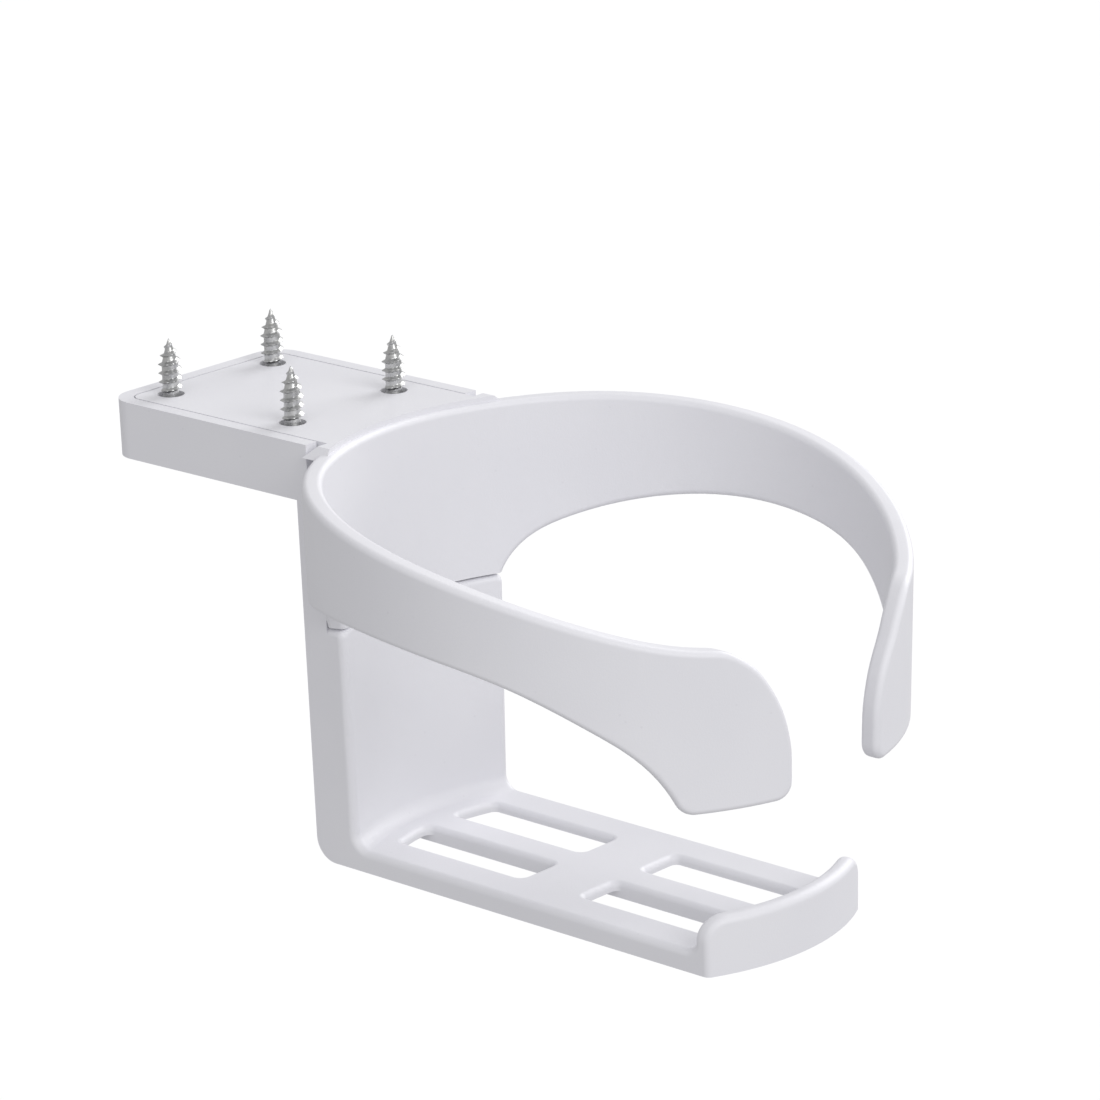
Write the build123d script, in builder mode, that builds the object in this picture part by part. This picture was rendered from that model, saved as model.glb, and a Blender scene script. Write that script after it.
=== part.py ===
from build123d import *
import math
import os

# Under-desk cup holder: a C-shaped collar screwed into the head of an L-shaped bracket.
# Millimetres. +Z is up, +X runs along the desk's edge and -Y points out towards the user.
# The origin is the centre of the four desk screws, on the plane of the desk's underside.

# ---- driving dimensions ----
REACH = 71.0              # desk screw centre to cup axis
BORE_R = 44.7             # collar bore radius at the desk plane
WALL = 3.3                # collar wall
DRAFT = 1.1               # degrees; bore and collar narrow downwards
TOTAL_DROP = 71.2         # desk plane to the underside of the tray
CLEARANCE = 0.3           # between collar and bracket

# Bracket upright
HEAD_HALF = 20.2          # half width at the desk plane
FOOT_HALF = 18.8          # half width at the tray
HEAD_REAR = 48.9          # cup axis to the back, at the desk plane
FOOT_REAR = 48.1          # the same at the tray
SIDE_WALL = 2.5           # side walls
FRONT_WALL = 3.0          # wall that faces the cup
HEEL_R = 4.0              # rounding where the back meets the tray's underside
SEAT_Z = -30.4            # the front wall ends here, under the collar
SEAT_T = 2.5
SEAT_ROUND = 1.0          # rounding of the front wall's top edge
NOTCH_Z = -12.0           # above this the side walls stand back from the collar
NOTCH_Y = 46.2            # cup axis to the side walls' front ends there

# Tray and lip
TRAY_T = 3.6              # depth of the tray's edges
PLATE_EDGE_T = 1.6        # thickness of the tray's plate beside the slots
RIB_T = 2.8               # thickness of its middle rib between the slots
SKIRT = 2.0               # wall round the hollow under the tray
HOLLOW = (-33.0, 41.5)    # cup axis to the hollow's ends
TRAY_FILLET = 2.5         # where the tray meets the upright
SIDE_ROUND = 1.2          # upright's front edges, tray's side edges and lip's inner edge
SLOT_IN = 3.2             # cup axis to the slots' inner sides
SLOT_OUT = 11.5           # and to their outer sides
REAR_SLOT = (9.9, 38.0)   # straight end, and radius of the round far end
FRONT_SLOT = (-2.9, 31.5)
SLOT_CORNER = 1.2
SLOT_ROUND = 1.0          # upper edges of the slots
LIP_R = 39.5              # outer radius of the lip, about the cup axis
LIP_T = 3.0
LIP_H = 9.5               # from the tray's underside
LIP_CORNER = 4.0
LIP_FILLET = 1.6          # where the lip rises from the tray
LIP_ROUND = 1.3           # lip's outer edges

# Flange under the desk
TONGUE_T = 3.2            # collar's plate, against the desk
TONGUE_HALF = 17.4
PLATE_T = 3.2             # bracket's plate, under the tongue
FLANGE_DROP = 9.7         # depth of the skirt
FLANGE_END = 92.0         # cup axis to the flange's far end
FLANGE_CORNER = 5.0

# Joint between collar and bracket
BLOCK_HALF = 14.0         # block behind the collar that takes the joint screws
BLOCK_REAR = 50.4
WEB_T = 2.5               # bracket web behind the block
WEB_HALF = 14.5
GUSSET = 5.0
GUSSET_T = 2.0
GUSSET_X = 3.5

# Desk screws, pan head, and the smaller joint screws; each has a plain neck below its head
SCREW_DX = 24.0
SCREW_DY = 28.0
THREAD_R = 2.0
NECK_R = 1.5
HEAD_R = 4.0
HEAD_H = 2.6
SCREW_LENGTH = 16.0
HOLE_SLACK = 0.25         # clearance holes, on the thread's radius
JOINT_X = 9.0
JOINT_Z = -17.0
JOINT_THREAD_R = 1.5
JOINT_NECK_R = 1.15
JOINT_HEAD_R = 2.8
JOINT_HEAD_H = 2.0
JOINT_LENGTH = 8.0
PILOT_DEPTH = 5.6

# Collar edges as (angle from the back in degrees, height)
RIM_Z = -0.9              # rim beside the pad that meets the desk
COLLAR_FOOT_Z = -30.0     # lower edge of the collar's back
RIM = [
    (0, RIM_Z), (26, RIM_Z), (46, RIM_Z), (66, -1.8), (87, -3.9),
    (107, -7.15), (127, -11.6), (146, -15.3), (170, -19.4),
]
LOWER_EDGE = [
    (24, -33.4), (28, -27.0), (32, -24.5), (40, -21.9), (56, -18.9), (76, -17.4),
    (96, -18.5), (112, -21.5), (127, -27.5), (135, -32.0), (141, -37.6), (145.5, -45.5),
]
# Ends of the arms, as seen from the front: (distance from the middle, height) down to the rounded foot.
LOBE_FOOT_Z = -41.5
LOBE_FOOT_R = 2.8
LOBE_TOP = (24.0, -14.5)
LOBE_CORNER_Z = -16.0
LOBE_TOP_R = 6.0          # rounding between the rim and the arm's end
LOBE_HEEL_R = 3.5         # and between the arm's foot and its lower edge
COLLAR_ROUND = 1.0        # both edges of the collar's wall, all round
BACK_SPARE = 2.5          # length cut off the collar's back once those edges are rounded
PAD_HALF = 19.6           # half width of the pad that meets the desk
PAD_SET = 1.2             # from the bore to the pad's face, which stands on the flat of the rim
LEFT_END = [
    (22.3, -15.6), (20.4, -16.75), (18.6, -18.05), (16.8, -19.8), (15.2, -22.0),
    (13.5, -25.0), (12.3, -27.8), (11.3, -31.5), (10.85, LOBE_FOOT_Z + LOBE_FOOT_R),
]
RIGHT_END = [
    (22.3, -15.6), (20.4, -16.75), (18.6, -18.05), (16.7, -19.8), (14.8, -22.0),
    (12.1, -25.0), (10.3, -27.8), (9.0, -31.5), (8.5, LOBE_FOOT_Z + LOBE_FOOT_R),
]

# ---- worked out from these ----
FLOOR_Z = TRAY_T - TOTAL_DROP            # the tray's upper face
LIP_Z = LIP_H - TOTAL_DROP               # the lip's upper face
PLATE_Z = -TONGUE_T - PLATE_T            # the plate's lower face, where the screw heads seat
WEB_REAR = BLOCK_REAR + WEB_T
POCKET_END = FLANGE_END - SIDE_WALL
POCKET_CORNER = FLANGE_CORNER - SIDE_WALL
SIDE_SLOPE = (HEAD_HALF - FOOT_HALF) / TOTAL_DROP
REAR_SLOPE = (HEAD_REAR - FOOT_REAR) / TOTAL_DROP
DRAFT_SLOPE = math.tan(math.radians(DRAFT))
PAST = 12.0                              # cutters run past the part by this much
INSIDE = BORE_R - PAST                   # cup axis to where cutters and blocks begin, inside the bore
CUP_AXIS = Axis((0, -REACH, 0), (0, 0, 1))


def cone_radius(radius, z):
    """Radius at height z of a drafted wall that has the given radius at the desk plane."""
    return radius + z * DRAFT_SLOPE


def radial_plane(angle):
    """Plane through the cup axis, with local x outwards and local y up."""
    turn = math.radians(angle)
    outwards = (math.sin(turn), math.cos(turn), 0)
    return Plane(origin=(0, -REACH, 0), x_dir=outwards, z_dir=(math.cos(turn), -math.sin(turn), 0))


def level(z):
    """Horizontal plane with its origin on the cup axis."""
    return Plane(origin=(0, -REACH, z))


def facing(y, z, side):
    """Upright plane at a distance y behind the cup axis that faces the back (1) or the front (-1)."""
    return Plane(origin=(0, y - REACH, z), x_dir=(-side, 0, 0), z_dir=(0, side, 0))


def strip(half_width, front, rear):
    """Rectangle across the part between two distances behind the cup axis."""
    with BuildSketch() as outline:
        with Locations((0, (front + rear) / 2)):
            Rectangle(2 * half_width, rear - front)
    return outline.sketch


def drafted_disc(radius, z_low, z_high):
    """Half section of a drafted disc about the cup axis, for a revolve."""
    with BuildSketch(radial_plane(0)) as section:
        with BuildLine():
            Polyline(
                (0, z_low), (cone_radius(radius, z_low), z_low),
                (cone_radius(radius, z_high), z_high), (0, z_high), close=True,
            )
        make_face()
    return section.sketch


def edge_cutter(edge, z_far):
    """The space between a collar edge and z_far, lofted through radial sections."""
    far = BORE_R + WALL + PAST
    sections = []
    for angle, height in edge:
        with BuildSketch(radial_plane(angle)) as section:
            with BuildLine():
                Polyline((INSIDE, height), (far, height), (far, z_far), (INSIDE, z_far), close=True)
            make_face()
        sections.append(section.sketch)
    return loft(sections, mode=Mode.PRIVATE)


def desk_plane_radius(edge):
    """Distance of an edge's middle from the cup axis, followed along the draft to the desk plane."""
    middle = edge @ 0.5
    return math.hypot(middle.X, middle.Y + REACH) - middle.Z * DRAFT_SLOPE


def wall_corners(part, z):
    """Edges that cross the collar's wall about height z, where two of its narrow faces meet."""
    crossing = part.edges().filter_by(GeomType.BSPLINE).filter_by_position(Axis.Z, z - 1, z + 1)
    return crossing.filter_by(lambda edge: edge.length < WALL + 1)


def on_inner_run(edge):
    """Upright's front edges, the tray's side edges and the lip's inner edge, which run into each other."""
    middle = edge @ 0.5
    if edge.geom_type == GeomType.LINE:
        return abs(middle.Z - FLOOR_Z) < 0.05
    face_r = cone_radius(BORE_R, middle.Z) if middle.Y > -REACH else LIP_R - LIP_T
    by_the_face = abs(math.hypot(middle.X, middle.Y + REACH) - face_r) < 1
    at_the_side = abs(middle.X) > FOOT_HALF - LIP_CORNER and FLOOR_Z + 0.1 < middle.Z < SEAT_Z - 0.05
    return by_the_face and (at_the_side or abs(middle.Z - LIP_Z) < 0.05)


def on_lip_front(edge):
    """Outer edges of the lip, apart from the one under the tray."""
    middle = edge @ 0.5
    on_arc = abs(math.hypot(middle.X, middle.Y + REACH) - LIP_R) < 0.05
    return on_arc and middle.Y < -REACH and middle.Z > 0.1 - TOTAL_DROP


# ---- collar ----
def gap_half(end):
    """Half of the gap between the arms, seen from the front, from its middle to one arm's end."""
    with BuildSketch() as half:
        with BuildLine():
            lobe_end = Spline(*end, tangents=[(-1, -0.5), (0, -1)])
            lobe_foot = JernArc(lobe_end @ 1, lobe_end % 1, LOBE_FOOT_R, 90)
            Polyline(
                lobe_foot @ 1, lobe_foot @ 1 - Vector(0, PAST), (0, LOBE_FOOT_Z - PAST),
                (0, PAST), (LOBE_TOP[0], PAST), LOBE_TOP, lobe_end @ 0,
            )
        make_face()
    return half.sketch


with BuildSketch(facing(0, 0, -1)) as handle_gap:
    add(gap_half(RIGHT_END))
    add(mirror(gap_half(LEFT_END), about=Plane.YZ, mode=Mode.PRIVATE))

other_half = [(-angle, height) for angle, height in reversed(RIM[1:])]
rim_cutter = edge_cutter(other_half + RIM, PAST)
foot_cutter = edge_cutter(LOWER_EDGE, LOBE_FOOT_Z - PAST)

# Behind the collar: the block for the joint screws and the tongue for the desk screws, rooted in
# its wall, and the pad beside them that stands on the rim and slopes down to it.
with BuildPart() as collar_root:
    with BuildSketch(level(COLLAR_FOOT_Z)):
        add(strip(BLOCK_HALF, INSIDE, BLOCK_REAR))
    extrude(amount=-COLLAR_FOOT_Z)
    with BuildSketch(level(-TONGUE_T)) as tongue:
        add(strip(TONGUE_HALF, INSIDE, POCKET_END - CLEARANCE))
        fillet(tongue.vertices().group_by(Axis.Y)[-1], POCKET_CORNER - CLEARANCE)
    extrude(amount=TONGUE_T)
    with BuildSketch(level(2 * RIM_Z)):
        add(strip(PAD_HALF - 2 * RIM_Z, INSIDE, NOTCH_Y - CLEARANCE))
    extrude(amount=-2 * RIM_Z, taper=45)
    add(drafted_disc(BORE_R + PAD_SET, LOBE_FOOT_Z - PAST, PAST))
    revolve(axis=CUP_AXIS, mode=Mode.SUBTRACT)

with BuildPart() as collar:
    add(drafted_disc(BORE_R + WALL, LOBE_FOOT_Z, 0))
    revolve(axis=CUP_AXIS)
    add(drafted_disc(BORE_R, LOBE_FOOT_Z - PAST, PAST))
    revolve(axis=CUP_AXIS, mode=Mode.SUBTRACT)
    add(rim_cutter, mode=Mode.SUBTRACT)
    add(foot_cutter, mode=Mode.SUBTRACT)
    add(mirror(foot_cutter, about=Plane.YZ, mode=Mode.PRIVATE), mode=Mode.SUBTRACT)
    # The back is left a little long until its edges are rounded.
    with BuildSketch(level(COLLAR_FOOT_Z - BACK_SPARE)):
        add(strip(HEAD_HALF + CLEARANCE + WALL, INSIDE, HEAD_REAR + PAST))
    extrude(amount=LOBE_FOOT_Z - PAST - COLLAR_FOOT_Z, mode=Mode.SUBTRACT)
    # The gap that a mug's handle passes through.
    extrude(handle_gap.sketch, amount=BORE_R + WALL + PAST, mode=Mode.SUBTRACT)
    # The outline's corners are rounded first, then both edges of the wall all the way round.
    wall_middle = BORE_R + WALL / 2
    fillet(wall_corners(collar, LOBE_CORNER_Z), LOBE_TOP_R)
    fillet(wall_corners(collar, LOBE_FOOT_Z), LOBE_HEEL_R)
    wall_edges = collar.edges().filter_by(
        lambda edge: abs(abs(desk_plane_radius(edge) - wall_middle) - WALL / 2) < 0.05
    )
    fillet(wall_edges, COLLAR_ROUND)
    with BuildSketch(level(COLLAR_FOOT_Z)):
        add(strip(HEAD_HALF + CLEARANCE + WALL, INSIDE, HEAD_REAR + PAST))
    extrude(amount=-BACK_SPARE, mode=Mode.SUBTRACT)
    add(collar_root.part)
    with Locations(Plane.XY):
        with GridLocations(SCREW_DX, SCREW_DY, 2, 2):
            Hole(THREAD_R + HOLE_SLACK)
    with Locations(facing(BLOCK_REAR, JOINT_Z, 1)):
        with GridLocations(2 * JOINT_X, 1, 2, 1):
            Hole(JOINT_THREAD_R, depth=PILOT_DEPTH)
collar.part.label = "collar"

# ---- bracket ----
middle_plane = facing(0, 0, 1)

# The space behind the cup axis: tray, root fillet, upright's face, its top edge, then the collar's room.
foot_r = cone_radius(BORE_R, FLOOR_Z)
seat_r = cone_radius(BORE_R, SEAT_Z)
room_r = BORE_R + WALL + CLEARANCE
with BuildPart() as rear_space:
    with BuildSketch(radial_plane(0)):
        with BuildLine():
            Polyline((0, PAST), (0, FLOOR_Z), (foot_r - TRAY_FILLET, FLOOR_Z))
            RadiusArc((foot_r - TRAY_FILLET, FLOOR_Z), (foot_r, FLOOR_Z + TRAY_FILLET), -TRAY_FILLET)
            Line((foot_r, FLOOR_Z + TRAY_FILLET), (seat_r, SEAT_Z - SEAT_ROUND))
            RadiusArc((seat_r, SEAT_Z - SEAT_ROUND), (seat_r + SEAT_ROUND, SEAT_Z), SEAT_ROUND)
            Polyline(
                (seat_r + SEAT_ROUND, SEAT_Z), (cone_radius(room_r, SEAT_Z), SEAT_Z),
                (cone_radius(room_r, PAST), PAST), (0, PAST),
            )
        make_face()
    revolve(axis=CUP_AXIS)
    split(bisect_by=middle_plane, keep=Keep.TOP)

# The space before the cup axis: tray, fillet, lip's inner face, and everything above the lip.
lip_in = LIP_R - LIP_T
with BuildPart() as front_space:
    with BuildSketch(radial_plane(0)):
        with BuildLine():
            Polyline((0, PAST), (0, FLOOR_Z), (lip_in - LIP_FILLET, FLOOR_Z))
            RadiusArc((lip_in - LIP_FILLET, FLOOR_Z), (lip_in, FLOOR_Z + LIP_FILLET), -LIP_FILLET)
            Polyline(
                (lip_in, FLOOR_Z + LIP_FILLET), (lip_in, LIP_Z), (LIP_R + PAST, LIP_Z),
                (LIP_R + PAST, PAST), (0, PAST),
            )
        make_face()
    revolve(axis=CUP_AXIS)
    split(bisect_by=middle_plane, keep=Keep.BOTTOM)

# The hollow of the upright, which is open behind, between its walls, the seat and the tray.
with BuildPart() as upright_core:
    for z, half, rear in ((-TOTAL_DROP, FOOT_HALF, FOOT_REAR), (0, HEAD_HALF, HEAD_REAR)):
        with BuildSketch(level(z)):
            add(strip(half - SIDE_WALL, INSIDE, rear + PAST))
    loft()
    split(bisect_by=level(SEAT_Z - SEAT_T), keep=Keep.BOTTOM)
    split(bisect_by=level(FLOOR_Z), keep=Keep.TOP)
    add(drafted_disc(BORE_R + FRONT_WALL, -TOTAL_DROP - PAST, PAST))
    revolve(axis=CUP_AXIS, mode=Mode.SUBTRACT)

with BuildPart() as bracket:
    # Blank of upright, tray and lip: narrower towards its foot, and round in front about the cup.
    corner_y = -math.sqrt(LIP_R**2 - HEAD_HALF**2)
    with BuildSketch(level(-TOTAL_DROP)):
        with BuildLine():
            Polyline(
                (HEAD_HALF, corner_y), (HEAD_HALF, HEAD_REAR),
                (-HEAD_HALF, HEAD_REAR), (-HEAD_HALF, corner_y),
            )
            ThreePointArc((-HEAD_HALF, corner_y), (0, -LIP_R), (HEAD_HALF, corner_y))
        make_face()
    extrude(amount=TOTAL_DROP)
    for side in (-1, 1):
        flank = Plane(origin=(side * HEAD_HALF, 0, 0), x_dir=(0, 1, 0), z_dir=(side, 0, -SIDE_SLOPE))
        split(bisect_by=flank, keep=Keep.BOTTOM)
    back = Plane(origin=(0, HEAD_REAR - REACH, 0), x_dir=(1, 0, 0), z_dir=(0, 1, -REAR_SLOPE))
    split(bisect_by=back, keep=Keep.BOTTOM)
    heel = bracket.edges().group_by(Axis.Z)[0].sort_by(Axis.Y)[-1]
    fillet(heel, HEEL_R)
    add(rear_space.part, mode=Mode.SUBTRACT)
    add(front_space.part, mode=Mode.SUBTRACT)

    # The lip's corners, then every edge that a hand meets, in one run from seat to seat.
    lip_edges = bracket.edges().filter_by_position(Axis.Z, LIP_Z - 0.1, LIP_Z + 0.1)
    fillet(lip_edges.filter_by(GeomType.LINE), LIP_CORNER)
    fillet(bracket.edges().filter_by(on_inner_run), SIDE_ROUND)
    fillet(bracket.edges().filter_by(on_lip_front), LIP_ROUND)
    add(upright_core.part, mode=Mode.SUBTRACT)

    # Two pairs of slots, rounded at their far ends to follow the cup.
    for start, end_radius in (REAR_SLOT, FRONT_SLOT):
        reach = math.copysign(end_radius, start)
        slot_y = start + reach / 2
        slot_x = (SLOT_IN + SLOT_OUT) / 2
        with BuildSketch(level(-TOTAL_DROP)) as slots:
            Circle(end_radius)
            with Locations((slot_x, slot_y), (-slot_x, slot_y)):
                Rectangle(SLOT_OUT - SLOT_IN, end_radius, mode=Mode.INTERSECT)
            fillet(slots.vertices(), SLOT_CORNER)
        extrude(amount=TRAY_T, mode=Mode.SUBTRACT)
    floors = bracket.faces().filter_by(Plane.XY).filter_by_position(Axis.Z, FLOOR_Z - 0.1, FLOOR_Z + 0.1)
    tray_face = floors.sort_by(SortBy.AREA)[-1]
    fillet([edge for hole in tray_face.inner_wires() for edge in hole.edges()], SLOT_ROUND)
    # The tray is hollow underneath: a shallow hollow inside the skirt, deeper on both sides of the rib.
    hollow_half = FOOT_HALF - SKIRT
    channel_x = (SLOT_IN + hollow_half) / 2
    with BuildSketch(level(-TOTAL_DROP)):
        add(strip(hollow_half, *HOLLOW))
    extrude(amount=TRAY_T - RIB_T, mode=Mode.SUBTRACT)
    with BuildSketch(level(-TOTAL_DROP)):
        with Locations((channel_x, sum(HOLLOW) / 2), (-channel_x, sum(HOLLOW) / 2)):
            Rectangle(hollow_half - SLOT_IN, HOLLOW[1] - HOLLOW[0])
    extrude(amount=TRAY_T - PLATE_EDGE_T, mode=Mode.SUBTRACT)

    # Flange: a plate with a skirt, open above for the tongue and below for the screw heads.
    with BuildSketch(level(0)) as flange:
        add(strip(HEAD_HALF, NOTCH_Y, FLANGE_END))
        fillet(flange.vertices().group_by(Axis.Y)[-1], FLANGE_CORNER)
    extrude(amount=-FLANGE_DROP, taper=math.degrees(math.atan(SIDE_SLOPE)))
    pockets = ((-TONGUE_T, TONGUE_T, INSIDE), (-FLANGE_DROP, FLANGE_DROP + PLATE_Z, HEAD_REAR))
    for z, depth, front in pockets:
        with BuildSketch(level(z)) as pocket:
            add(strip(TONGUE_HALF + CLEARANCE, front, POCKET_END))
            fillet(pocket.vertices().group_by(Axis.Y)[-1], POCKET_CORNER)
        extrude(amount=depth, mode=Mode.SUBTRACT)

    # Socket for the collar's back and its block, between the side walls.
    with BuildSketch(level(SEAT_Z)):
        add(strip(BLOCK_HALF + CLEARANCE, INSIDE, BLOCK_REAR))
    extrude(amount=-SEAT_Z, mode=Mode.SUBTRACT)
    add(drafted_disc(room_r, SEAT_Z, PAST))
    revolve(axis=CUP_AXIS, mode=Mode.SUBTRACT)
    with BuildSketch(level(NOTCH_Z)):
        add(strip(HEAD_HALF + PAST, INSIDE, NOTCH_Y))
    extrude(amount=-NOTCH_Z, mode=Mode.SUBTRACT)

    # Seat and web that close the socket below and behind.
    with BuildSketch(level(SEAT_Z - SEAT_T)):
        add(strip(WEB_HALF, BORE_R + FRONT_WALL / 2, WEB_REAR))
    extrude(amount=SEAT_T)
    with BuildSketch(level(SEAT_Z)):
        add(strip(WEB_HALF, BLOCK_REAR, WEB_REAR))
    extrude(amount=PLATE_Z - SEAT_Z)
    for x in (-GUSSET_X, GUSSET_X):
        with BuildSketch(Plane(origin=(x, -REACH, 0), x_dir=(0, 1, 0), z_dir=(1, 0, 0))):
            with BuildLine():
                Polyline(
                    (WEB_REAR, PLATE_Z), (WEB_REAR + GUSSET, PLATE_Z),
                    (WEB_REAR, PLATE_Z - 1.5 * GUSSET), close=True,
                )
            make_face()
        extrude(amount=GUSSET_T / 2, both=True)

    with Locations(Plane.XY):
        with GridLocations(SCREW_DX, SCREW_DY, 2, 2):
            Hole(THREAD_R + HOLE_SLACK)
    with Locations(facing(WEB_REAR, JOINT_Z, 1)):
        with GridLocations(2 * JOINT_X, 1, 2, 1):
            Hole(JOINT_THREAD_R + HOLE_SLACK, depth=WEB_T)
bracket.part.label = "bracket"


# ---- screws ----
def pan_screw(thread_r, neck_r, neck, head_r, head_h, length):
    """Cross-recess screw that points up, with its head's seat at the origin."""
    tip = 1.6 * thread_r
    rim_z = -0.35 * head_h
    flat_r = 0.55 * head_r
    recess = 1.15 * head_r
    with BuildPart() as screw:
        with BuildSketch(Plane.XZ):
            with BuildLine():
                Polyline(
                    (flat_r, -head_h), (0, -head_h), (0, length), (thread_r, length - tip),
                    (thread_r, neck), (neck_r, neck), (neck_r, 0), (head_r, 0), (head_r, rim_z),
                )
                ThreePointArc((head_r, rim_z), (0.86 * head_r, -0.8 * head_h), (flat_r, -head_h))
            make_face()
        revolve(axis=Axis.Z)
        with BuildSketch(Plane.XY.offset(-head_h)):
            Rectangle(recess, 0.28 * recess)
            Rectangle(0.28 * recess, recess)
        extrude(amount=0.65 * head_h, taper=12, mode=Mode.SUBTRACT)
    return screw.part


desk_screw = pan_screw(THREAD_R, NECK_R, -PLATE_Z, HEAD_R, HEAD_H, SCREW_LENGTH)
with BuildPart() as desk_screws:
    with Locations(Plane.XY.offset(PLATE_Z)):
        with GridLocations(SCREW_DX, SCREW_DY, 2, 2):
            add(desk_screw)
desk_screws.part.label = "desk_screws"

joint_screw = pan_screw(
    JOINT_THREAD_R, JOINT_NECK_R, WEB_T, JOINT_HEAD_R, JOINT_HEAD_H, JOINT_LENGTH
)
with BuildPart() as joint_screws:
    with Locations(facing(WEB_REAR, JOINT_Z, -1)):
        with GridLocations(2 * JOINT_X, 1, 2, 1):
            add(joint_screw)
joint_screws.part.label = "joint_screws"

os.makedirs("parts", exist_ok=True)
export_step(collar.part, "parts/collar.step")
export_step(bracket.part, "parts/bracket.step")
export_step(desk_screws.part, "parts/desk_screws.step")
export_step(joint_screws.part, "parts/joint_screws.step")
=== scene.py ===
import bpy
import math
from mathutils import Matrix, Vector


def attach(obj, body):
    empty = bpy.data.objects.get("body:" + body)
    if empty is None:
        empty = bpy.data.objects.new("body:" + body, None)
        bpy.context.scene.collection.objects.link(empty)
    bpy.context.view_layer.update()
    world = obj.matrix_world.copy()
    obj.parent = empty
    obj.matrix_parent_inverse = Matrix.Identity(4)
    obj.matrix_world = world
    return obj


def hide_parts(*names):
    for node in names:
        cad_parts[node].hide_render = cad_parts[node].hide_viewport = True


# Looks of the under-desk cup holder: two moulded parts in semi-gloss white plastic and their screws.
# Metres, in the row frame: the origin is the centre of the four desk screws, on the desk's underside.

MM = 0.001

# ---- sizes taken over from the CAD part ----
CUP_AXIS_Y = -71.0 * MM
PLATE_Z = -6.4 * MM            # seat of the desk screws' heads
SCREW_DX = 24.0 * MM
SCREW_DY = 28.0 * MM
WEB_REAR_Y = -18.1 * MM        # seat of the joint screws' heads
JOINT_X = 9.0 * MM
JOINT_Z = -17.0 * MM

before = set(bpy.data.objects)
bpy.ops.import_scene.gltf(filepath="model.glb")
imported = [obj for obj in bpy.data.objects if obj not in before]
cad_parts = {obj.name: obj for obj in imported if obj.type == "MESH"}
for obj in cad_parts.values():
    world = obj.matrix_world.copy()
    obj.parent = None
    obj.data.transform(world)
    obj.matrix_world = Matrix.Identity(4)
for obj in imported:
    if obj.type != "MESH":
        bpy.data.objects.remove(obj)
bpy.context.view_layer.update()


# ---- colours ----
PLASTIC_SHADE = (0.768, 0.765, 0.804)
PLASTIC_TONE = (0.794, 0.791, 0.826)
SPECK_TONE = (0.66, 0.655, 0.69)
ZINC_SHADE = (0.50, 0.505, 0.51)
ZINC_TONE = (0.66, 0.66, 0.645)
ZINC_STAIN = (0.36, 0.34, 0.30)
FLOOR_TONE = (0.99, 0.99, 0.99)
SKY_TONE = (0.99, 0.99, 1.0)


# ---- materials ----
def new_material(name):
    """A material with its nodes, its Principled shader and a function that adds nodes to it."""
    material = bpy.data.materials.new(name)
    material.use_nodes = True
    tree = material.node_tree
    shader = tree.nodes["Principled BSDF"]

    def add(kind, links=(), **settings):
        node = tree.nodes.new(kind)
        for key, value in settings.items():
            setattr(node, key, value)
        for socket, source in links:
            if isinstance(source, bpy.types.NodeSocket):
                tree.links.new(source, node.inputs[socket])
            else:
                node.inputs[socket].default_value = source
        return node

    return material, tree, shader, add


def noise(add, where, scale, detail=2.0, roughness=0.5):
    """Output of a noise texture whose features repeat about `scale` times a metre."""
    node = add(
        "ShaderNodeTexNoise",
        [("Vector", where), ("Scale", scale), ("Detail", detail), ("Roughness", roughness)],
    )
    return node.outputs["Fac"]


def remap(add, value, low, high, to_low, to_high):
    """Linear remap of a value, held within its new range."""
    node = add(
        "ShaderNodeMapRange",
        [("Value", value), ("From Min", low), ("From Max", high), ("To Min", to_low), ("To Max", to_high)],
    )
    return node.outputs["Result"]


def blend_colours(add, share, first, second):
    """Colour between two others."""
    node = add("ShaderNodeMix", [("Factor", share)], data_type="RGBA")
    for socket, colour in ((node.inputs[6], first), (node.inputs[7], second)):
        if isinstance(colour, bpy.types.NodeSocket):
            node.id_data.links.new(colour, socket)
        else:
            socket.default_value = (*colour, 1)
    return node.outputs[2]


def bump(add, height, strength, distance, under=None):
    """Normal of a surface with that relief, over another relief if one is given."""
    links = [("Height", height), ("Strength", strength), ("Distance", distance)]
    if under is not None:
        links.append(("Normal", under))
    return add("ShaderNodeBump", links).outputs["Normal"]


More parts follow.
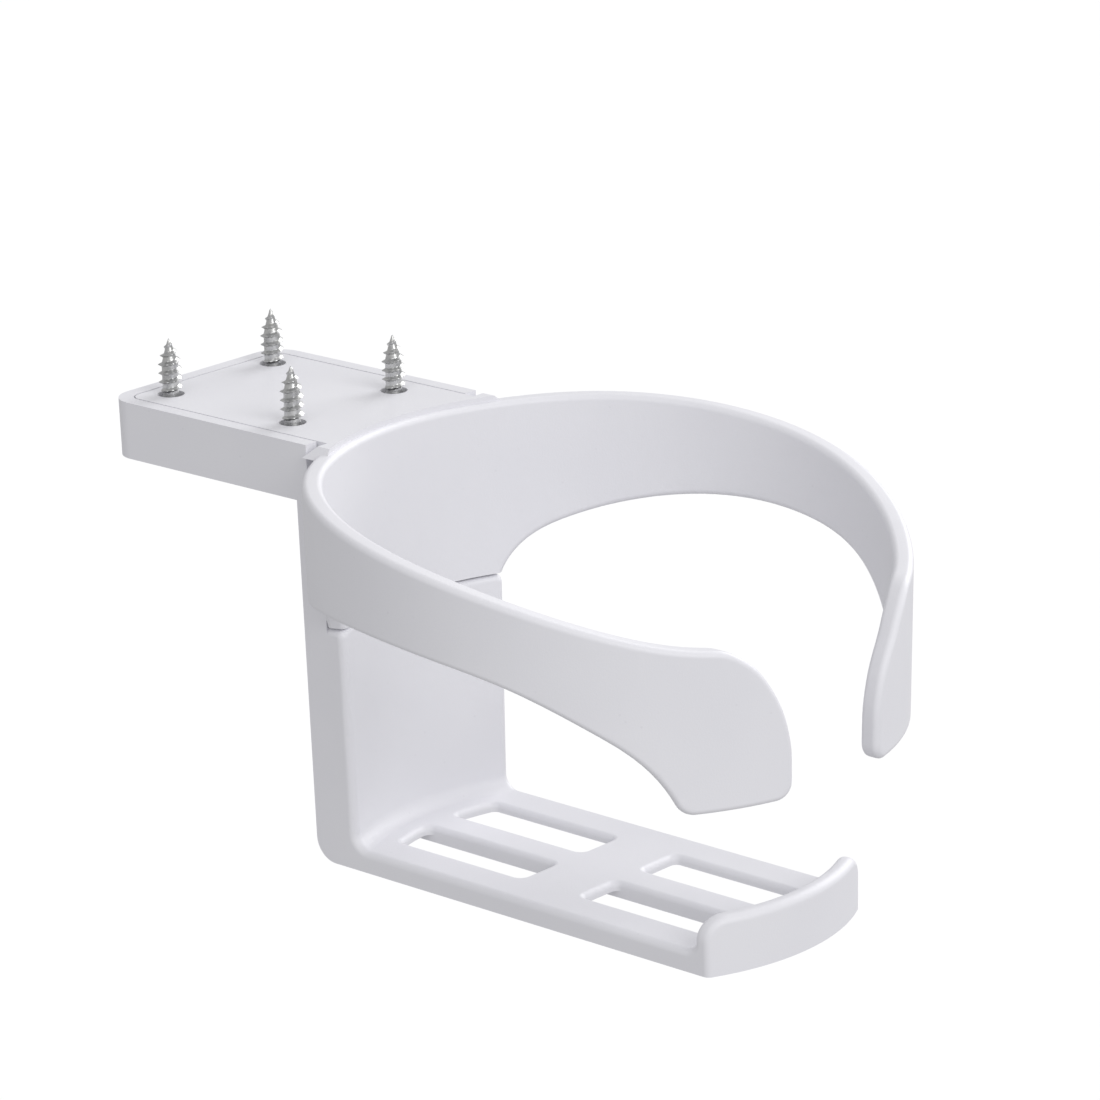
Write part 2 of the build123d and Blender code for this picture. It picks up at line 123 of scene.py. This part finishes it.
def white_plastic(name, shift):
    """Injection-moulded semi-gloss white plastic with a fine grain, faint specks and rubbing marks."""
    material, tree, shader, add = new_material(name)
    coordinates = add("ShaderNodeTexCoord").outputs["Object"]
    where = add("ShaderNodeMapping", [("Vector", coordinates), ("Location", shift)]).outputs["Vector"]

    # Colour: cloudy flow shading and a few faint grey specks.
    clouds = remap(add, noise(add, where, scale=38, detail=3), 0.3, 0.7, 0, 1)
    colour = blend_colours(add, clouds, first=PLASTIC_SHADE, second=PLASTIC_TONE)
    specks = add(
        "ShaderNodeTexVoronoi", [("Vector", where), ("Scale", 620.0), ("Randomness", 1.0)],
        distance="EUCLIDEAN",
    ).outputs["Distance"]
    rare = remap(add, noise(add, where, scale=210, detail=1), 0.60, 0.66, 0, 0.30)
    speck_share = add(
        "ShaderNodeMath", [(0, remap(add, specks, 0.16, 0.07, 0, 1)), (1, rare)], operation="MULTIPLY"
    ).outputs[0]
    colour = blend_colours(add, speck_share, first=colour, second=SPECK_TONE)
    tree.links.new(colour, shader.inputs["Base Color"])

    # Gloss: uneven over centimetres, and dulled by fine rubbing marks.
    patches = remap(add, noise(add, where, scale=60, detail=4, roughness=0.6), 0.3, 0.7, 0.40, 0.48)
    stretched = add(
        "ShaderNodeMapping", [("Vector", where), ("Rotation", (0.5, 0.3, 0.9)), ("Scale", (1.0, 14.0, 9.0))]
    ).outputs["Vector"]
    rubbing = remap(add, noise(add, stretched, scale=170, detail=3, roughness=0.7), 0.58, 0.74, 0, 0.10)
    roughness = add("ShaderNodeMath", [(0, patches), (1, rubbing)], operation="ADD").outputs[0]
    tree.links.new(roughness, shader.inputs["Roughness"])

    # Relief: moulding waviness, grain of about 0.3 mm, and the scratches of the rubbing marks.
    waves = bump(add, noise(add, where, scale=45, detail=2), strength=0.25, distance=0.25 * MM)
    grain_height = noise(add, where, scale=3200, detail=2, roughness=0.6)
    grain = bump(add, grain_height, strength=0.26, distance=0.06 * MM, under=waves)
    scratches = bump(add, rubbing, strength=0.10, distance=0.08 * MM, under=grain)
    tree.links.new(scratches, shader.inputs["Normal"])
    shader.inputs["IOR"].default_value = 1.49
    shader.inputs["Specular IOR Level"].default_value = 0.5
    return material


def zinc_steel(name, shift):
    """Bright zinc-plated steel: rings left by turning, mottled plating and a little dulling."""
    material, tree, shader, add = new_material(name)
    coordinates = add("ShaderNodeTexCoord").outputs["Object"]
    where = add("ShaderNodeMapping", [("Vector", coordinates), ("Location", shift)]).outputs["Vector"]
    mottle = remap(add, noise(add, where, scale=900, detail=4, roughness=0.6), 0.3, 0.7, 0, 1)
    colour = blend_colours(add, mottle, first=ZINC_SHADE, second=ZINC_TONE)
    stain = remap(add, noise(add, where, scale=260, detail=3), 0.55, 0.75, 0, 0.35)
    colour = blend_colours(add, stain, first=colour, second=ZINC_STAIN)
    tree.links.new(colour, shader.inputs["Base Color"])
    rings = add(
        "ShaderNodeTexWave", [("Vector", where), ("Scale", 3800.0), ("Distortion", 1.5), ("Detail", 2.0)],
        wave_type="RINGS", rings_direction="Z",
    ).outputs["Fac"]
    dulling = remap(add, mottle, 0, 1, 0.24, 0.40)
    tree.links.new(dulling, shader.inputs["Roughness"])
    turned = bump(add, rings, strength=0.12, distance=0.02 * MM)
    pits = noise(add, where, scale=5200, detail=2)
    pitted = bump(add, pits, strength=0.12, distance=0.03 * MM, under=turned)
    tree.links.new(pitted, shader.inputs["Normal"])
    shader.inputs["Metallic"].default_value = 1.0
    return material


collar_plastic = white_plastic("collar_plastic", (0.0, 0.0, 0.0))
bracket_plastic = white_plastic("bracket_plastic", (0.31, 0.17, 0.08))
desk_screw_steel = zinc_steel("desk_screw_steel", (0.0, 0.0, 0.0))
joint_screw_steel = zinc_steel("joint_screw_steel", (0.05, 0.02, 0.01))


WELD_DISTANCE = 0.03 * MM
HARD_CORNER = 32               # degrees; an edge at least this sharp isn't shaded over


def finish_moulding(obj, material):
    """Gives a CAD part its plastic, and shades it evenly over the joins between its surfaces."""
    obj.data.materials.clear()
    obj.data.materials.append(material)
    weld = obj.modifiers.new("weld", "WELD")
    weld.merge_threshold = WELD_DISTANCE
    corners = obj.modifiers.new("hard_corners", "EDGE_SPLIT")
    corners.use_edge_sharp = False
    corners.split_angle = math.radians(HARD_CORNER)
    even = obj.modifiers.new("even_shading", "WEIGHTED_NORMAL")
    even.mode = "FACE_AREA"
    even.weight = 50
    even.keep_sharp = False


finish_moulding(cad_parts["collar"], collar_plastic)
finish_moulding(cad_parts["bracket"], bracket_plastic)


# ---- screws ----
TURN_STEPS = 56                # mesh steps round a screw
PITCH_STEPS = 12               # mesh steps along one turn of the thread
DRIVEN_TURN = 37               # degrees from each screw's recess to the next one's, as when driven home


def revolve_rows(rows):
    """Vertices and faces of a closed skin through rows of points, which starts and ends at single ones."""
    vertices = [rows[0][0]]
    for row in rows[1:-1]:
        vertices.extend(row)
    vertices.append(rows[-1][0])
    faces = []
    last = len(vertices) - 1
    for step in range(TURN_STEPS):
        after = (step + 1) % TURN_STEPS
        faces.append((0, 1 + after, 1 + step))
        for ring in range(len(rows) - 3):
            low = 1 + ring * TURN_STEPS
            high = low + TURN_STEPS
            faces.append((low + step, low + after, high + after, high + step))
        high = 1 + (len(rows) - 3) * TURN_STEPS
        faces.append((high + step, high + after, last))
    return vertices, faces


def screw_mesh(name, thread_r, core_r, neck_r, neck, head_r, head_h, length, pitch):
    """Pan-head screw with a helical thread, up from its seat at the origin, before its recess is cut."""
    tip = 2.2 * thread_r

    def ring(radius, z):
        angles = [2 * math.pi * step / TURN_STEPS for step in range(TURN_STEPS)]
        return [(radius * math.cos(a), radius * math.sin(a), z) for a in angles]

    rows = [[(0, 0, -head_h)]]
    crown = [
        (0.30, 1.0), (0.55, 0.995), (0.68, 0.96), (0.79, 0.88), (0.88, 0.74), (0.95, 0.54), (0.99, 0.38),
    ]
    for out, drop in crown:
        rows.append(ring(out * head_r, -drop * head_h))
    rows.append(ring(head_r, -0.30 * head_h))
    rows.append(ring(head_r, -0.05 * head_h))
    rows.append(ring(0.985 * head_r, 0))
    rows.append(ring(neck_r + 0.06 * head_r, 0))
    rows.append(ring(neck_r, 0.02 * head_r))
    rows.append(ring(neck_r, neck - 0.25 * pitch))

    def thread_row(z):
        row = []
        run_in = min(1.0, max(0.0, (z - neck) / (0.8 * pitch)))
        to_tip = min(1.0, (length - z) / tip)
        for step in range(TURN_STEPS):
            turn = step / TURN_STEPS
            along = (z / pitch - turn) % 1.0
            ridge = max(0.0, 1 - abs(along - 0.5) / 0.24) * run_in
            core = core_r * to_tip ** 0.75
            crest = core + (thread_r - core_r) * min(1.0, 1.6 * to_tip)
            radius = core + (crest - core) * ridge
            row.append((radius * math.cos(2 * math.pi * turn), radius * math.sin(2 * math.pi * turn), z))
        return row

    rows_up = int(math.ceil((length - neck) / pitch * PITCH_STEPS))
    for count in range(rows_up):
        rows.append(thread_row(neck + (length - neck) * count / rows_up))
    rows.append([(0, 0, length)])
    vertices, faces = revolve_rows(rows)
    mesh = bpy.data.meshes.new(name)
    mesh.from_pydata(vertices, [], faces)
    mesh.validate()
    return mesh


def recess_mesh(name, head_r, head_h):
    """Cross recess with tapered wings, as a solid to cut from the head."""
    low, deep = -1.05 * head_h, -0.38 * head_h
    outline = []
    for quarter in range(4):
        for x, y in ((0.60, -0.135), (0.60, 0.135), (0.16, 0.16)):
            turn = quarter * math.pi / 2
            outline.append((x * math.cos(turn) - y * math.sin(turn), x * math.sin(turn) + y * math.cos(turn)))
    count = len(outline)
    vertices = [(x * head_r, y * head_r, low) for x, y in outline]
    vertices += [(0.50 * x * head_r, 0.62 * y * head_r, deep) for x, y in outline]
    vertices.append((0, 0, 0.82 * deep))
    faces = [tuple(reversed(range(count)))]
    for step in range(count):
        after = (step + 1) % count
        faces.append((step, after, count + after, count + step))
        faces.append((count + step, count + after, 2 * count))
    mesh = bpy.data.meshes.new(name)
    mesh.from_pydata(vertices, [], faces)
    mesh.validate()
    return mesh


def cut_recess(screw, recess):
    """The screw's mesh with the recess cut out, its hard edges marked sharp."""
    body = bpy.data.objects.new("screw_body", screw)
    tool = bpy.data.objects.new("recess_tool", recess)
    for obj in (body, tool):
        bpy.context.scene.collection.objects.link(obj)
    cut = body.modifiers.new("recess", "BOOLEAN")
    cut.operation = "DIFFERENCE"
    cut.solver = "EXACT"
    cut.object = tool
    graph = bpy.context.evaluated_depsgraph_get()
    mesh = bpy.data.meshes.new_from_object(body.evaluated_get(graph))
    bpy.data.objects.remove(body)
    bpy.data.objects.remove(tool)
    mesh.polygons.foreach_set("use_smooth", [True] * len(mesh.polygons))
    mesh.set_sharp_from_angle(angle=math.radians(HARD_CORNER))
    return mesh


def place_screws(name, mesh, material, node, turn, spots):
    """One screw at each spot, all with the same mesh, in place of the CAD node."""
    mesh.materials.clear()
    mesh.materials.append(material)
    for count, spot in enumerate(spots, 1):
        screw = bpy.data.objects.new(f"{name}_{count}", mesh)
        bpy.context.scene.collection.objects.link(screw)
        own_turn = Matrix.Rotation(math.radians(DRIVEN_TURN * count), 4, "Z")
        screw.matrix_world = Matrix.Translation(spot) @ turn @ own_turn
        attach(screw, "root")
        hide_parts(node)


# Both are a little smaller than the CAD screws, so as to stay within them.
DESK_SCREW = {
    "thread_r": 1.98 * MM, "core_r": 1.35 * MM, "neck_r": 1.46 * MM, "neck": 6.4 * MM,
    "head_r": 3.98 * MM, "head_h": 2.58 * MM, "length": 15.9 * MM, "pitch": 1.5 * MM,
}
JOINT_SCREW = {
    "thread_r": 1.48 * MM, "core_r": 1.05 * MM, "neck_r": 1.12 * MM, "neck": 2.5 * MM,
    "head_r": 2.78 * MM, "head_h": 1.98 * MM, "length": 7.9 * MM, "pitch": 1.2 * MM,
}


def recessed_screw(name, size):
    """Mesh of a whole screw of that size."""
    recess = recess_mesh(f"{name}_recess", size["head_r"], size["head_h"])
    return cut_recess(screw_mesh(name, **size), recess)


desk_mesh = recessed_screw("desk_screw", DESK_SCREW)
spots = [(x * SCREW_DX / 2, y * SCREW_DY / 2, PLATE_Z) for x in (-1, 1) for y in (-1, 1)]
upright = Matrix.Identity(4)
place_screws("desk_screw", desk_mesh, desk_screw_steel, "desk_screws", upright, spots)

joint_mesh = recessed_screw("joint_screw", JOINT_SCREW)
spots = [(x * JOINT_X, WEB_REAR_Y, JOINT_Z) for x in (-1, 1)]
forwards = Matrix.Rotation(math.radians(90), 4, "X")
place_screws(
    "joint_screw", joint_mesh, joint_screw_steel, "joint_screws", forwards, spots
)

# ---- floor ----
FLOOR_Z = -1.0
FLOOR_HALF = 14.0
corners = [(x * FLOOR_HALF, y * FLOOR_HALF, FLOOR_Z) for x, y in ((-1, -1), (1, -1), (1, 1), (-1, 1))]
floor_mesh = bpy.data.meshes.new("floor")
floor_mesh.from_pydata(corners, [], [(0, 1, 2, 3)])
floor = bpy.data.objects.new("floor", floor_mesh)
bpy.context.scene.collection.objects.link(floor)
floor_paint, _, floor_shader, _ = new_material("floor_paint")
floor_shader.inputs["Base Color"].default_value = (*FLOOR_TONE, 1)
floor_shader.inputs["Roughness"].default_value = 0.9
floor_shader.inputs["Specular IOR Level"].default_value = 0.0
floor_mesh.materials.append(floor_paint)
floor.visible_diffuse = False
floor.visible_glossy = False

# ---- light ----
SKY_STRENGTH = 0.53
LAMP_WIDTH = 42                # degrees; wide lamps, so that shadows are soft
LAMPS = [                      # name, azimuth, elevation, strength
    ("key", -10, 30, 1.15),
    ("side", 90, 30, 1.45),
    ("fill", -70, 45, 0.38),
]

world = bpy.data.worlds.new("studio")
world.use_nodes = True
sky = world.node_tree.nodes["Background"]
sky.inputs["Color"].default_value = (*SKY_TONE, 1)
sky.inputs["Strength"].default_value = SKY_STRENGTH
bpy.context.scene.world = world


def aim(obj, towards):
    """Turns a lamp to shine along a direction."""
    obj.rotation_mode = "QUATERNION"
    obj.rotation_quaternion = Vector(towards).to_track_quat("-Z", "Y")


def outwards(azimuth, elevation):
    """Direction from the object out to an azimuth (from the front, towards +X) and elevation, in degrees."""
    a, e = math.radians(azimuth), math.radians(elevation)
    return Vector((math.sin(a) * math.cos(e), -math.cos(a) * math.cos(e), math.sin(e)))


for name, azimuth, elevation, strength in LAMPS:
    lamp_data = bpy.data.lights.new(name, "SUN")
    lamp_data.energy = strength
    lamp_data.angle = math.radians(LAMP_WIDTH)
    lamp = bpy.data.objects.new(name, lamp_data)
    bpy.context.scene.collection.objects.link(lamp)
    aim(lamp, -outwards(azimuth, elevation))

# ---- camera ----
CAMERA_DISTANCE = 788.96 * MM
CAMERA_AZIMUTH = -48.956       # round the cup axis, from the front
CAMERA_ELEVATION = 16.576
LOOK_AZIMUTH = -48.247         # where it points, a little off the cup axis
LOOK_ELEVATION = 17.509
CAMERA_ROLL = -1.24
LENS = 165.19                  # millimetres
SENSOR_WIDTH = 36.0            # the same

camera_data = bpy.data.cameras.new("camera")
camera_data.sensor_width = SENSOR_WIDTH
camera_data.lens = LENS
camera_data.clip_start = 0.05
camera_data.clip_end = 60.0
camera = bpy.data.objects.new("camera", camera_data)
bpy.context.scene.collection.objects.link(camera)
back = outwards(LOOK_AZIMUTH, LOOK_ELEVATION)
right = Vector((0, 0, 1)).cross(back).normalized()
up = back.cross(right)
roll = math.radians(CAMERA_ROLL)
rolled_right = right * math.cos(roll) + up * math.sin(roll)
rolled_up = up * math.cos(roll) - right * math.sin(roll)
place = Vector((0, CUP_AXIS_Y, 0)) + CAMERA_DISTANCE * outwards(CAMERA_AZIMUTH, CAMERA_ELEVATION)
turned = Matrix((rolled_right, rolled_up, back)).transposed()
camera.matrix_world = Matrix.Translation(place) @ turned.to_4x4()
bpy.context.scene.camera = camera

bpy.context.scene.view_settings.view_transform = "Standard"
bpy.context.scene.view_settings.look = "None"
